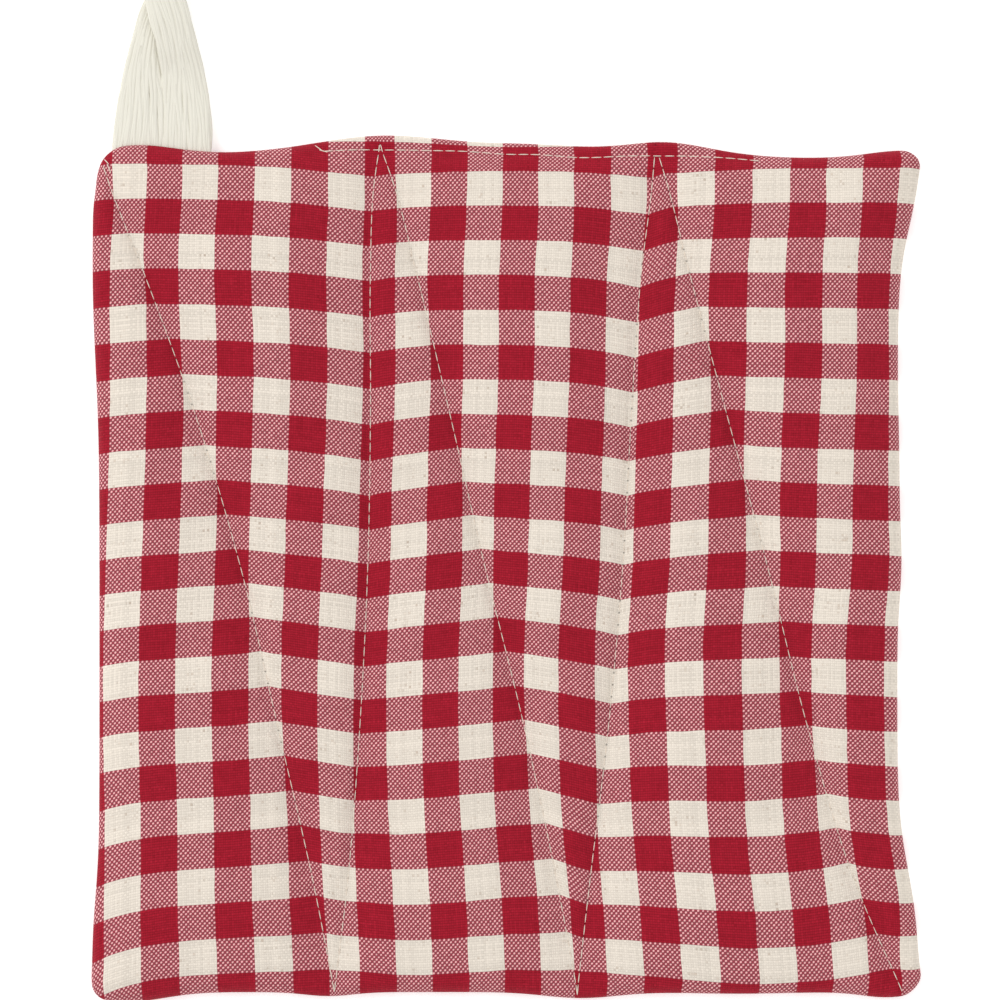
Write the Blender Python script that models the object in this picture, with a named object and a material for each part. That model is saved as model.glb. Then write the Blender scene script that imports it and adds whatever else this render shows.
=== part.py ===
"""A quilted gingham pot holder with a hanging loop of cotton yarn.

It lies on its back. +Z is up, +Y points to the edge that carries the loop, and the origin is the
middle of the padded square's underside. Lengths are in metres; the tables are in millimetres.
"""

import math

import bpy
import numpy as np
from mathutils import Vector
from mathutils.geometry import delaunay_2d_cdt

MM = 0.001

# The four edges of the padded square: how far each reaches from the middle at its two ends, how far
# it is drawn in between them, and how squarely (a high power keeps the drawing-in close to the ends).
EDGES = {
    "top": {"reach": 103.4, "drawn_in": 0.0, "power": 6},
    "left": {"reach": 102.8, "drawn_in": 1.6, "power": 6},
    "bottom": {"reach": 105.8, "drawn_in": 0.0, "power": 6},
    "right": {"reach": 102.6, "drawn_in": 4.7, "power": 6},
}
EDGE_HALF_LENGTH = 102.0

# Where an edge stands out of that line, mostly where a quilting seam runs off it.
# Columns: edge, place along it, rise, spread.
SWELLS = (
    ("top", -91.0, 2.0, 8.5),
    ("top", -30.0, 4.5, 17.0),
    ("top", 8.0, 2.0, 14.0),
    ("top", 40.0, 2.8, 10.0),
    ("top", 76.0, -1.0, 13.0),
    ("top", 98.0, 1.0, 7.0),
    ("left", 70.0, 1.5, 20.0),
    ("left", -90.0, 0.8, 10.0),
    ("right", 93.0, 1.9, 10.0),
    ("right", 24.0, 0.5, 14.0),
    ("right", 1.0, 0.9, 9.0),
    ("right", -86.0, 2.7, 13.0),
    ("bottom", -94.0, 2.4, 9.0),
    ("bottom", -44.0, 1.0, 6.0),
    ("bottom", 19.0, 1.5, 9.0),
    ("bottom", 58.0, 0.4, 12.0),
    ("bottom", 95.0, 1.3, 6.0),
)
CORNER_RADII = {"top_left": 8.5, "bottom_left": 3.5, "bottom_right": 5.0, "top_right": 4.5}
CORNER_STEPS = 4

# The zigzag quilting: how far across each seam stands at these heights, top edge to bottom edge.
SEAM_HEIGHTS = (105.5, 95.0, 75.0, 40.0, 0.0, -40.0, -80.0, -105.5)
SEAMS = {
    "first": (-101.8, -98.3, -90.5, -77.7, -65.8, -56.5, -47.4, -42.5),
    "second": (-31.2, -32.7, -33.5, -33.5, -34.2, -36.2, -39.4, -42.5),
    "third": (-31.2, -27.5, -22.4, -14.1, -4.9, 4.9, 13.3, 18.0),
    "fourth": (37.5, 36.6, 34.1, 31.6, 29.3, 25.7, 20.9, 18.0),
    "fifth": (37.5, 40.6, 45.6, 54.8, 65.5, 75.5, 87.9, 99.0),
}
# A seam's slant at a height is taken over this length of it.
SLOPE_SPAN = 2.0
# The row that closes the top edge runs this far inside it, between these two places across.
CLOSING_ROW = {"inset": 2.8, "start": -47.0, "end": 63.0, "depth": 0.7, "half_width": 2.4}

# The folded edge: the height of its middle, and how far in its quarter rounds end.
EDGE_HEIGHT = 2.3
EDGE_ROUND = 2.6
# The upper face: its height at a seam, how much higher the pads rise, and how far from a seam and
# from the edge they take to rise.
SEAM_TOP = 4.3
PAD_RISE = 3.6
PAD_REACH = 7.5
EDGE_REACH = 5.0
# The lower face is flat but for a groove at each seam, this deep and this far to each side.
UNDER_GROOVE = 1.0
UNDER_REACH = 3.6
UNDER_POWER = 1.5

# The ends of the loop make a lump in the corner, and they lie in a slot between the two faces.
LUMP = {"x": -85.5, "y": 98.0, "rise": 1.3, "spread_x": 15.0, "spread_y": 8.0, "power_x": 4}
SLOT = {"left": -98.5, "right": -72.6, "low": 1.1, "high": 4.5, "end": 95.2, "mouth": 115.0}

# Points of the faces: on the outline, on rings inside it, in lanes beside the seams, and between.
OUTLINE_STEP = 4.8
UPPER_FACE = {
    "rings": (0.8, EDGE_ROUND, 6.0),
    "lanes": (0.0, 3.0, 7.0, 12.0),
    "lane_step": 5.6,
    "fill_step": 8.0,
}
LOWER_FACE = {
    "rings": (0.8, EDGE_ROUND),
    "lanes": (0.0, UNDER_REACH),
    "lane_step": 7.0,
    "fill_step": 14.0,
}
# No point stands nearer to another than this, on a ring, in a lane or between, in their steps.
RING_GAP = 0.75
LANE_GAP = 0.47
FILL_GAP = 0.62
EDGE_CLEARANCE = 0.4
# The rows of an even triangular grid stand this share of its step apart.
GRID_ROW = math.sqrt(0.75)

# The loop, as one doubled hank laid flat: from its left end in the slot, up behind the right leg,
# round the eye and down again. Columns: across, up, height of its middle, width, thickness.
LOOP_SECTIONS = (
    (-91.7, 96.0, 2.80, 11.8, 2.6),
    (-91.6, 103.5, 2.80, 11.8, 2.6),
    (-91.3, 110.0, 2.30, 11.2, 2.7),
    (-91.0, 117.0, 1.75, 10.0, 2.8),
    (-90.4, 124.5, 1.60, 8.0, 3.0),
    (-89.7, 130.5, 1.60, 6.4, 3.1),
    (-88.0, 137.5, 1.60, 6.0, 3.1),
    (-85.0, 144.5, 1.60, 6.0, 3.1),
    (-80.6, 151.5, 1.75, 6.0, 3.5),
    (-76.4, 158.5, 2.10, 6.0, 4.1),
    (-75.4, 166.5, 2.20, 6.0, 4.3),
    (-79.0, 174.0, 2.20, 6.0, 4.3),
    (-85.8, 176.8, 2.20, 6.0, 4.3),
    (-92.6, 174.0, 2.20, 6.0, 4.3),
    (-96.0, 166.5, 2.30, 6.0, 4.2),
    (-94.6, 158.5, 3.20, 6.2, 3.8),
    (-90.4, 151.5, 4.75, 6.8, 3.2),
    (-86.4, 144.5, 5.05, 7.6, 3.0),
    (-83.6, 137.0, 4.90, 8.8, 2.9),
    (-81.8, 130.0, 3.70, 9.0, 2.8),
    (-80.7, 124.0, 2.10, 9.8, 2.8),
    (-79.7, 117.0, 1.75, 10.6, 2.8),
    (-79.2, 110.0, 2.30, 11.0, 2.7),
    (-79.2, 103.5, 2.80, 11.0, 2.6),
    (-79.2, 96.0, 2.80, 11.0, 2.6),
)
LOOP_STATIONS = 76
LOOP_SIDES = 24
LOOP_STRANDS = 8
STRAND_RELIEF = 0.05

GINGHAM_RED = (0.40, 0.012, 0.030)
YARN_CREAM = (0.81, 0.78, 0.69)
CLOTH_ROUGHNESS = 0.9


def clear_scene():
    for old in list(bpy.data.objects):
        bpy.data.objects.remove(old)


def cloth_material(name, color):
    material = bpy.data.materials.new(name)
    material.use_nodes = True
    shader = material.node_tree.nodes["Principled BSDF"]
    shader.inputs["Base Color"].default_value = (*color, 1.0)
    shader.inputs["Roughness"].default_value = CLOTH_ROUGHNESS
    shader.inputs["Metallic"].default_value = 0.0
    return material


def smooth_curve(places, knots, values):
    """Values on a smooth curve through the knots, which may run up or down."""
    knots, values = np.array(knots, float), np.array(values, float)
    if knots[0] > knots[-1]:
        knots, values = knots[::-1], values[::-1]
    slopes = np.gradient(values, knots)
    places = np.clip(places, knots[0], knots[-1])
    index = np.clip(np.searchsorted(knots, places, side="right") - 1, 0, len(knots) - 2)
    gap = knots[index + 1] - knots[index]
    t = (places - knots[index]) / gap
    return (
        (2 * t**3 - 3 * t**2 + 1) * values[index]
        + (t**3 - 2 * t**2 + t) * gap * slopes[index]
        + (3 * t**2 - 2 * t**3) * values[index + 1]
        + (t**3 - t**2) * gap * slopes[index + 1]
    )


def edge_reach(edge, along):
    """How far an edge stands from the middle, at places along it."""
    shape = EDGES[edge]
    middle = 1 - np.abs(np.array(along, float) / EDGE_HALF_LENGTH) ** shape["power"]
    reach = shape["reach"] - shape["drawn_in"] * np.maximum(middle, 0)
    for name, place, rise, spread in SWELLS:
        if name == edge:
            reach = reach + rise * np.exp(-0.5 * ((along - place) / spread) ** 2)
    return reach


def edge_distance(x, y):
    """Distance inside the outline, before its corners are rounded."""
    return np.minimum.reduce(
        [
            edge_reach("top", x) - y,
            edge_reach("bottom", x) + y,
            edge_reach("left", y) + x,
            edge_reach("right", y) - x,
        ]
    )


def corner_arc(corner, inset):
    """Points round one corner, anticlockwise, this far inside the outline."""
    sign_x = -1 if corner.endswith("left") else 1
    sign_y = 1 if corner.startswith("top") else -1
    radius = CORNER_RADII[corner]
    along_x, along_y = "left" if sign_x < 0 else "right", "top" if sign_y > 0 else "bottom"
    corner_x = edge_reach(along_x, sign_y * EDGE_HALF_LENGTH)
    corner_y = edge_reach(along_y, sign_x * corner_x)
    centre = (sign_x * (corner_x - radius), sign_y * (corner_y - radius))
    first = {"top_left": 90, "bottom_left": 180, "bottom_right": 270, "top_right": 0}[corner]
    angles = np.radians(first + np.linspace(0, 90, CORNER_STEPS + 1))
    return [
        (centre[0] + (radius - inset) * math.cos(a), centre[1] + (radius - inset) * math.sin(a))
        for a in angles
    ]


def outline(inset):
    """The outline this far inside the edge, anticlockwise from the top left corner."""
    corners = ("top_left", "bottom_left", "bottom_right", "top_right")
    sides = ("left", "bottom", "right", "top")
    arcs = [corner_arc(corner, inset) for corner in corners]
    points = []
    for index, side in enumerate(sides):
        start, end = arcs[index][-1], arcs[(index + 1) % len(arcs)][0]
        points += arcs[index]
        axis = 1 if side in ("left", "right") else 0
        count = round(abs(end[axis] - start[axis]) / OUTLINE_STEP)
        for along in np.linspace(start[axis], end[axis], count + 1)[1:-1]:
            reach = float(edge_reach(side, along)) - inset
            if side in ("left", "bottom"):
                reach = -reach
            points.append((reach, along) if axis else (along, reach))
    return points


def seam_places(seam, y):
    return smooth_curve(y, SEAM_HEIGHTS, SEAMS[seam])


def seam_distances(x, y):
    """Distance to each quilting seam, one row a seam."""
    rows = []
    for seam in SEAMS:
        run = seam_places(seam, y + SLOPE_SPAN / 2) - seam_places(seam, y - SLOPE_SPAN / 2)
        slant = np.hypot(1, run / SLOPE_SPAN)
        rows.append(np.abs(x - seam_places(seam, y)) / slant)
    return np.array(rows)


def lump(x, y):
    """How much of the corner lump there is at a place, from 0 to 1."""
    across = (x - LUMP["x"]) / LUMP["spread_x"]
    up = (y - LUMP["y"]) / LUMP["spread_y"]
    return np.exp(-(across ** LUMP["power_x"]) - up**2)


def closing_dip(x, y):
    """How far the closing row pulls the top edge down."""
    row = CLOSING_ROW
    inside = edge_reach("top", x) - y - row["inset"]
    beside = np.maximum(row["start"] - x, x - row["end"])
    away = np.hypot(inside, np.maximum(beside, 0)) / row["half_width"]
    return row["depth"] * np.exp(-(away**2))


def edge_roll(distance):
    """The quarter round of the folded edge, 0 at the edge and 1 where it ends."""
    part = np.clip(distance / EDGE_ROUND, 0, 1)
    return np.sqrt(1 - (1 - part) ** 2)


def top_height(x, y, distance):
    """Height of the upper face: pads between the seams, and a rolled edge."""
    pad = np.prod(1 - np.exp(-seam_distances(x, y) / PAD_REACH), axis=0)
    pad = PAD_RISE * pad * (1 - np.exp(-distance / EDGE_REACH))
    roll = (SEAM_TOP - EDGE_HEIGHT) * edge_roll(distance)
    bulge = LUMP["rise"] * lump(x, y) * edge_roll(distance)
    return EDGE_HEIGHT + roll + pad + bulge - closing_dip(x, y) * edge_roll(distance)


def under_height(x, y, distance):
    """Height of the lower face: flat on the surface but for the seams and the rolled edge."""
    near = np.clip(1 - seam_distances(x, y).min(axis=0) / UNDER_REACH, 0, 1)
    groove = UNDER_GROOVE * near**UNDER_POWER * (1 - lump(x, y))
    return EDGE_HEIGHT * (1 - edge_roll(distance)) + groove * edge_roll(distance)


def seam_lanes(lanes, step):
    """Points along every seam and at these distances to either side of it."""
    points = []
    for lane in lanes:
        heights = np.arange(SEAM_HEIGHTS[0], SEAM_HEIGHTS[-1], -step)
        for seam in SEAMS:
            across = seam_places(seam, heights)
            for side in (-1, 1) if lane else (1,):
                points += [(float(x + side * lane), float(y)) for x, y in zip(across, heights)]
    return points


def fill_points(step):
    """An even triangular grid over the whole square."""
    rows = int(2 * EDGE_HALF_LENGTH / (step * GRID_ROW))
    points = []
    for row in range(-rows // 2, rows // 2 + 1):
        start = -EDGE_HALF_LENGTH + (row % 2) * step / 2
        for x in np.arange(start, EDGE_HALF_LENGTH, step):
            points.append((float(x), row * step * GRID_ROW))
    return points


def spread_points(border, groups):
    """Every group's points in turn, each kept only where none before it is nearer than its gap."""
    kept = np.array(border)
    for points, gap in groups:
        for point in points:
            if edge_distance(*point) < EDGE_CLEARANCE:
                continue
            if np.hypot(*(kept - point).T).min() > gap:
                kept = np.vstack([kept, point])
    return kept[len(border) :]


def face_triangles(border, inner):
    """The border, the points inside it, and the triangles that join them."""
    points = [Vector(point) for point in (*border, *inner)]
    ring = list(range(len(border)))
    edges = [(a, (a + 1) % len(border)) for a in ring]
    inside_only, merge_distance = 1, 1e-6
    made, _, faces, *_ = delaunay_2d_cdt(points, edges, [ring], inside_only, merge_distance)
    return np.array([tuple(point) for point in made]), [tuple(face) for face in faces]


def build_face(border, spacing, height):
    """One face of the square: its points with their heights, and its triangles."""
    ring_insets = {point: inset for inset in spacing["rings"] for point in outline(inset)}
    lane_step, fill_step = spacing["lane_step"], spacing["fill_step"]
    groups = (
        (list(ring_insets), RING_GAP * spacing["rings"][0]),
        (seam_lanes(spacing["lanes"][:1], lane_step), FILL_GAP * lane_step),
        (seam_lanes(spacing["lanes"][1:], lane_step), LANE_GAP * lane_step),
        (fill_points(fill_step), FILL_GAP * fill_step),
    )
    flat, faces = face_triangles(border, spread_points(border, groups))
    distance = edge_distance(*flat.T)
    # On the border and the rings it is known exactly, also round the corners.
    distance[: len(border)] = 0
    for index, point in enumerate(flat):
        distance[index] = ring_insets.get(tuple(point), distance[index])
    return np.column_stack([flat, height(*flat.T, distance)]), faces


def padded_body():
    """The padded square: two faces that share the middle line of the folded edge."""
    border = outline(0.0)
    upper, upper_faces = build_face(border, UPPER_FACE, top_height)
    lower, lower_faces = build_face(border, LOWER_FACE, under_height)
    shift = len(upper) - len(border)
    points = np.vstack([upper, lower[len(border) :]]) * MM
    turned = [
        tuple(v if v < len(border) else v + shift for v in reversed(face)) for face in lower_faces
    ]
    return mesh_object("padded_body", points, upper_faces + turned)


def mesh_object(name, points, faces):
    mesh = bpy.data.meshes.new(name)
    mesh.from_pydata([tuple(map(float, p)) for p in points], [], [tuple(f) for f in faces])
    mesh.validate()
    made = bpy.data.objects.new(name, mesh)
    bpy.context.scene.collection.objects.link(made)
    mesh.shade_smooth()
    return made


def slot_cutter():
    """The space between the two faces that holds the loop's ends."""
    bpy.ops.mesh.primitive_cube_add(size=1)
    cutter = bpy.context.object
    cutter.name = "slot_cutter"
    cutter.hide_render = True
    cutter.display_type = "WIRE"
    low = Vector((SLOT["left"], SLOT["end"], SLOT["low"])) * MM
    high = Vector((SLOT["right"], SLOT["mouth"], SLOT["high"])) * MM
    for vertex in cutter.data.vertices:
        vertex.co = [(a if c < 0 else b) for a, b, c in zip(low, high, vertex.co)]
    return cutter


def loop_stations():
    """Even stations along the hank, on a smooth curve through its sections."""
    rows = np.array(LOOP_SECTIONS)
    steps = np.linalg.norm(np.diff(rows[:, :3], axis=0), axis=1)
    along = np.concatenate([[0], np.cumsum(steps)])
    places = np.linspace(0, along[-1], LOOP_STATIONS)
    return np.column_stack([smooth_curve(places, along, column) for column in rows.T])


def hanging_loop():
    """The hank: a flattened, ribbed section carried along the stations."""
    stations = loop_stations()
    ways = np.gradient(stations[:, :2], axis=0)
    ways /= np.linalg.norm(ways, axis=1)[:, None]
    angles = np.arange(LOOP_SIDES) * 2 * math.pi / LOOP_SIDES
    relief = 1 + STRAND_RELIEF * np.cos(LOOP_STRANDS * angles)
    points = []
    for (x, y, z, width, thickness), (way_x, way_y) in zip(stations, ways):
        across = np.cos(angles) * relief * width / 2
        up = np.clip(np.sin(angles) * relief, -1, 1) * thickness / 2
        points.append(np.column_stack([x + across * way_y, y - across * way_x, z + up]))
    faces = []
    for ring in range(LOOP_STATIONS - 1):
        for side in range(LOOP_SIDES):
            a = ring * LOOP_SIDES + side
            b = ring * LOOP_SIDES + (side + 1) % LOOP_SIDES
            faces.append((a, a + LOOP_SIDES, b + LOOP_SIDES, b))
    last = (LOOP_STATIONS - 1) * LOOP_SIDES
    faces.append(tuple(range(LOOP_SIDES)))
    faces.append(tuple(last + side for side in reversed(range(LOOP_SIDES))))
    return mesh_object("hanging_loop", np.vstack(points) * MM, faces)


clear_scene()

body = padded_body()
cut = body.modifiers.new("slot", "BOOLEAN")
cut.operation = "DIFFERENCE"
cut.object = slot_cutter()
body.data.materials.append(cloth_material("red_gingham", GINGHAM_RED))

loop = hanging_loop()
loop.data.materials.append(cloth_material("cream_cotton_yarn", YARN_CREAM))
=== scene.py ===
"""A quilted pot holder in red and cream gingham, lying on its back and seen from straight above."""

import math

import bpy
import numpy as np
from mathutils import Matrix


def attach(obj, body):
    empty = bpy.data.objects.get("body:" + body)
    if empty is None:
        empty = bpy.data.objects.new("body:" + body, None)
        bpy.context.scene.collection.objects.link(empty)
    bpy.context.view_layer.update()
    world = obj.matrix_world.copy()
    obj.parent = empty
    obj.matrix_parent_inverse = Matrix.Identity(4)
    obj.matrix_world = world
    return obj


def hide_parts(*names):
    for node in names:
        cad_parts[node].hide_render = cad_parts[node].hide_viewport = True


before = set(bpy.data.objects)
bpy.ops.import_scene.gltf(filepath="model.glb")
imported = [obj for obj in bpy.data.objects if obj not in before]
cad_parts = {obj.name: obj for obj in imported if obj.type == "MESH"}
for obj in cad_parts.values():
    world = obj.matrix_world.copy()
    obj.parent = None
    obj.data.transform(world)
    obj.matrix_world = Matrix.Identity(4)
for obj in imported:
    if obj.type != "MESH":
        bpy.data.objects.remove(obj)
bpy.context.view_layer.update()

MM = 0.001

# The padded square
# Two squares of gingham over a cotton filling, turned right side out and closed along the top, then
# quilted through with one zigzag seam, which pulls it in: its edges wave and its faces pucker.
EDGES = {
    "top": {"reach": 103.4, "drawn_in": 0.0, "power": 6},
    "left": {"reach": 102.8, "drawn_in": 1.6, "power": 6},
    "bottom": {"reach": 105.8, "drawn_in": 0.0, "power": 6},
    "right": {"reach": 102.6, "drawn_in": 4.7, "power": 6},
}
EDGE_HALF_LENGTH = 102.0
# Columns: edge, place along it, rise, spread.
SWELLS = (
    ("top", -91.0, 2.0, 8.5),
    ("top", -30.0, 4.5, 17.0),
    ("top", 8.0, 2.0, 14.0),
    ("top", 40.0, 2.8, 10.0),
    ("top", 76.0, -1.0, 13.0),
    ("top", 98.0, 1.0, 7.0),
    ("left", 70.0, 1.5, 20.0),
    ("left", -90.0, 0.8, 10.0),
    ("right", 93.0, 1.9, 10.0),
    ("right", 24.0, 0.5, 14.0),
    ("right", 1.0, 0.9, 9.0),
    ("right", -86.0, 2.7, 13.0),
    ("bottom", -94.0, 2.4, 9.0),
    ("bottom", -44.0, 1.0, 6.0),
    ("bottom", 19.0, 1.5, 9.0),
    ("bottom", 58.0, 0.4, 12.0),
    ("bottom", 95.0, 1.3, 6.0),
)
# Below the loop's corner the edge is tucked in a little, and the lines of checks don't follow it.
CORNER_TUCK = ("left", 97.5, -1.0, 4.0)
CORNER_RADII = {"top_left": 8.5, "bottom_left": 3.5, "bottom_right": 5.0, "top_right": 4.5}

# How far across each seam stands at these heights, top edge to bottom edge.
SEAM_HEIGHTS = (105.5, 95.0, 75.0, 40.0, 0.0, -40.0, -80.0, -105.5)
SEAMS = (
    (-101.8, -98.3, -90.5, -77.7, -65.8, -56.5, -47.4, -42.5),
    (-31.2, -32.7, -33.5, -33.5, -34.2, -36.2, -39.4, -42.5),
    (-31.2, -27.5, -22.4, -14.1, -4.9, 4.9, 13.3, 18.0),
    (37.5, 36.6, 34.1, 31.6, 29.3, 25.7, 20.9, 18.0),
    (37.5, 40.6, 45.6, 54.8, 65.5, 75.5, 87.9, 99.0),
)
STITCH = 3.0

EDGE_HEIGHT, EDGE_ROUND = 2.3, 2.6
SEAM_TOP, PAD_RISE, EDGE_REACH = 4.3, 3.6, 5.0
# The cloth rises in two steps from a seam: share of the rise, and how far from the seam it goes on.
PAD_STEPS = ((0.35, 2.2), (0.65, 8.5))
UNDER_GROOVE, UNDER_REACH, UNDER_POWER = 1.0, 3.6, 1.5
LUMP = {"x": -85.5, "y": 98.0, "rise": 1.3, "spread_x": 15.0, "spread_y": 8.0, "power_x": 4}
# Over the loop the front cloth's edge lies on the yarn, this much above the rest of the edge.
MOUTH = {"x": -85.5, "half": 13.5, "rise": 2.1, "power": 6}

# The mesh: its outer rows and columns stand this far in, and the rest are even. The columns follow
# the seams, so that each seam is a line of the mesh.
RIM = (0.0, 0.12, 0.35, 0.7, 1.15, 1.7, 2.3, 3.0, 3.8)
ROWS_WITHIN = 188
COLUMNS_WITHIN = (38, 40, 40, 40, 40, 28)
LEAST_PANEL = 1.6

# Puckers that run out from a seam. Columns: length along the seam, height, reach. They start this
# far from it and lean, and their height rises and falls by a share, over so many of their lengths.
PUCKERS = ((3.1, 0.07, 2.5), (5.3, 0.11, 4.5), (8.7, 0.15, 7.0), (14.5, 0.20, 11.0))
PUCKER_START, PUCKER_LEAN = 1.6, 0.25
PUCKER_SWELL, PUCKER_SWELL_LENGTH = 0.4, 5.3
# Billows between the seams. Columns: length across, length up, height. Each is set off and leans.
BILLOWS = ((31.0, 23.0, 0.12), (17.0, 28.0, 0.08), (12.0, 10.0, 0.05))
BILLOW_OFFSETS, BILLOW_LEANS = (1.7, 2.3), (40.0, 55.0)
# A seam's length is added up in this many places.
SEAM_PLACES = 200


def smooth_curve(places, knots, values):
    """Values on a smooth curve through the knots, which may run up or down."""
    knots, values = np.array(knots, float), np.array(values, float)
    if knots[0] > knots[-1]:
        knots, values = knots[::-1], values[::-1]
    slopes = np.gradient(values, knots)
    places = np.clip(places, knots[0], knots[-1])
    index = np.clip(np.searchsorted(knots, places, side="right") - 1, 0, len(knots) - 2)
    gap = knots[index + 1] - knots[index]
    t = (places - knots[index]) / gap
    return (
        (2 * t**3 - 3 * t**2 + 1) * values[index]
        + (t**3 - 2 * t**2 + t) * gap * slopes[index]
        + (3 * t**2 - 2 * t**3) * values[index + 1]
        + (t**3 - t**2) * gap * slopes[index + 1]
    )


def edge_reach(edge, along, tucks=(CORNER_TUCK,)):
    """How far an edge stands from the middle, at places along it."""
    shape = EDGES[edge]
    middle = 1 - np.abs(along / EDGE_HALF_LENGTH) ** shape["power"]
    reach = shape["reach"] - shape["drawn_in"] * np.maximum(middle, 0)
    for name, place, rise, spread in SWELLS + tucks:
        if name == edge:
            reach = reach + rise * np.exp(-0.5 * ((along - place) / spread) ** 2)
    return reach


def seam_x(index, y):
    return smooth_curve(y, SEAM_HEIGHTS, SEAMS[index])


def corner_cut(radius, away):
    """How far a rounded corner stands in from the side, this far away from the end edge."""
    short = np.clip(radius - away, 0, radius)
    return radius - np.sqrt(radius**2 - short**2)


def square_grid():
    """Places of the mesh's rows and columns, from the top left corner: x and y in millimetres."""
    rim = np.array(RIM)
    height = EDGES["top"]["reach"] + EDGES["bottom"]["reach"]
    rows = np.linspace(rim[-1], height - rim[-1], ROWS_WITHIN + 1)
    t = np.concatenate([rim[:-1], rows, height - rim[-2::-1]]) / height
    t = t[:, None]
    panels = len(COLUMNS_WITHIN)
    counts = [n + (len(RIM) - 1) * (i in (0, panels - 1)) for i, n in enumerate(COLUMNS_WITHIN)]
    x = np.zeros((len(t), sum(counts) + 1))
    y = EDGES["top"]["reach"] - t * height + x
    for _ in range(5):
        spans = edge_reach("top", x) + edge_reach("bottom", x)
        from_top, from_bottom = t * spans, (1 - t) * spans
        left = -edge_reach("left", y[:, 0]) + np.maximum(
            corner_cut(CORNER_RADII["top_left"], from_top[:, 0]),
            corner_cut(CORNER_RADII["bottom_left"], from_bottom[:, 0]),
        )
        right = edge_reach("right", y[:, -1]) - np.maximum(
            corner_cut(CORNER_RADII["top_right"], from_top[:, -1]),
            corner_cut(CORNER_RADII["bottom_right"], from_bottom[:, -1]),
        )
        lines = [left]
        start = 0
        for k in range(len(SEAMS)):
            start += counts[k]
            lines.append(seam_x(k, y[:, start]))
        lines.append(right)
        lines[1] = np.maximum(lines[1], left + LEAST_PANEL)
        lines[-2] = np.minimum(lines[-2], right - LEAST_PANEL)
        for k in range(1, len(SEAMS)):
            middle = (lines[k] + lines[k + 1]) / 2
            half = np.maximum((lines[k + 1] - lines[k]) / 2, LEAST_PANEL / 2)
            lines[k], lines[k + 1] = middle - half, middle + half
        columns = []
        for k, within in enumerate(COLUMNS_WITHIN):
            width = (lines[k + 1] - lines[k])[:, None]
            if k in (0, panels - 1):
                band = rim[None, :] * np.minimum(1, width / (2 * rim[-1]))
                even = np.linspace(0, 1, within + 1)[None, 1:]
                inner = band[:, -1:] + even * (width - band[:, -1:])
                part = np.hstack([band, inner])
                if k:
                    part = width - part[:, ::-1]
            else:
                part = np.linspace(0, 1, within + 1)[None, :] * width
            part = part + lines[k][:, None]
            columns.append(part if k == 0 else part[:, 1:])
        x = np.hstack(columns)
        y = edge_reach("top", x) - t * (edge_reach("top", x) + edge_reach("bottom", x))
    return x, y


def inside_distance(x, y):
    """How far inside the outline a place is, its rounded corners included."""
    sides = {
        "left": x + edge_reach("left", y),
        "right": edge_reach("right", y) - x,
        "top": edge_reach("top", x) - y,
        "bottom": y + edge_reach("bottom", x),
    }
    distance = np.minimum.reduce(list(sides.values()))
    for corner, radius in CORNER_RADII.items():
        end, side = corner.split("_")
        a, b = radius - sides[side], radius - sides[end]
        distance = np.where(
            (a > 0) & (b > 0), np.minimum(distance, radius - np.hypot(a, b)), distance
        )
    return np.maximum(distance, 0)


def seam_frames(x, y):
    """For each seam, how far a place is across it, to the right, and how far along it."""
    frames = []
    for k in range(len(SEAMS)):
        heights = np.linspace(SEAM_HEIGHTS[0], SEAM_HEIGHTS[-1], SEAM_PLACES)
        line = seam_x(k, heights)
        steps = np.hypot(np.diff(line), np.diff(heights))
        along = np.concatenate([[0], np.cumsum(steps)])
        slant = np.hypot(1, seam_x(k, y + 1) / 2 - seam_x(k, y - 1) / 2)
        across = (x - seam_x(k, y)) / slant
        beyond = np.minimum(heights[0] - y, 0) + np.maximum(heights[-1] - y, 0)
        frames.append((across, np.interp(-y, -heights, along) + beyond))
    return frames


def puckers(frames):
    """Folds that run out from the seams, where the stitches gather the cloth."""
    draw = np.random.default_rng(11)
    total = 0
    for across, along in frames:
        for side in (-1, 1):
            away = np.maximum(across * side, 0)
            for length, rise, reach in PUCKERS:
                phase, swell, shear = draw.uniform(0, 2 * math.pi, 3)
                place = along + PUCKER_LEAN * math.sin(shear) * away
                wave = np.sin(2 * math.pi * place / length + phase)
                swelling = np.sin(2 * math.pi * along / (PUCKER_SWELL_LENGTH * length) + swell)
                strength = 1 - PUCKER_SWELL + PUCKER_SWELL * swelling
                start = 1 - np.exp(-((away / PUCKER_START) ** 2))
                total = total + rise * wave * strength * start * np.exp(-away / reach)
    return total


def billows(x, y):
    """The slack of the cloth over the filling."""
    total = 0
    for index, (length_x, length_y, rise) in enumerate(BILLOWS):
        across = 2 * math.pi * x / length_x + BILLOW_OFFSETS[0] * index + y / BILLOW_LEANS[0]
        up = 2 * math.pi * y / length_y + BILLOW_OFFSETS[1] * index + x / BILLOW_LEANS[1]
        total = total + rise * np.sin(across) * np.sin(up)
    return total


def edge_roll(distance):
    part = np.clip(distance / EDGE_ROUND, 0, 1)
    return np.sqrt(1 - (1 - part) ** 2)


def lump(x, y):
    across, up = (x - LUMP["x"]) / LUMP["spread_x"], (y - LUMP["y"]) / LUMP["spread_y"]
    return np.exp(-(across ** LUMP["power_x"]) - up**2)


def edge_height(x, y):
    """Height of the middle of the folded edge, which lies on the loop's yarn at the loop."""
    away = np.abs((x - MOUTH["x"]) / MOUTH["half"]) ** MOUTH["power"]
    return EDGE_HEIGHT + MOUTH["rise"] * np.exp(-away) * (y > 0)


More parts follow.
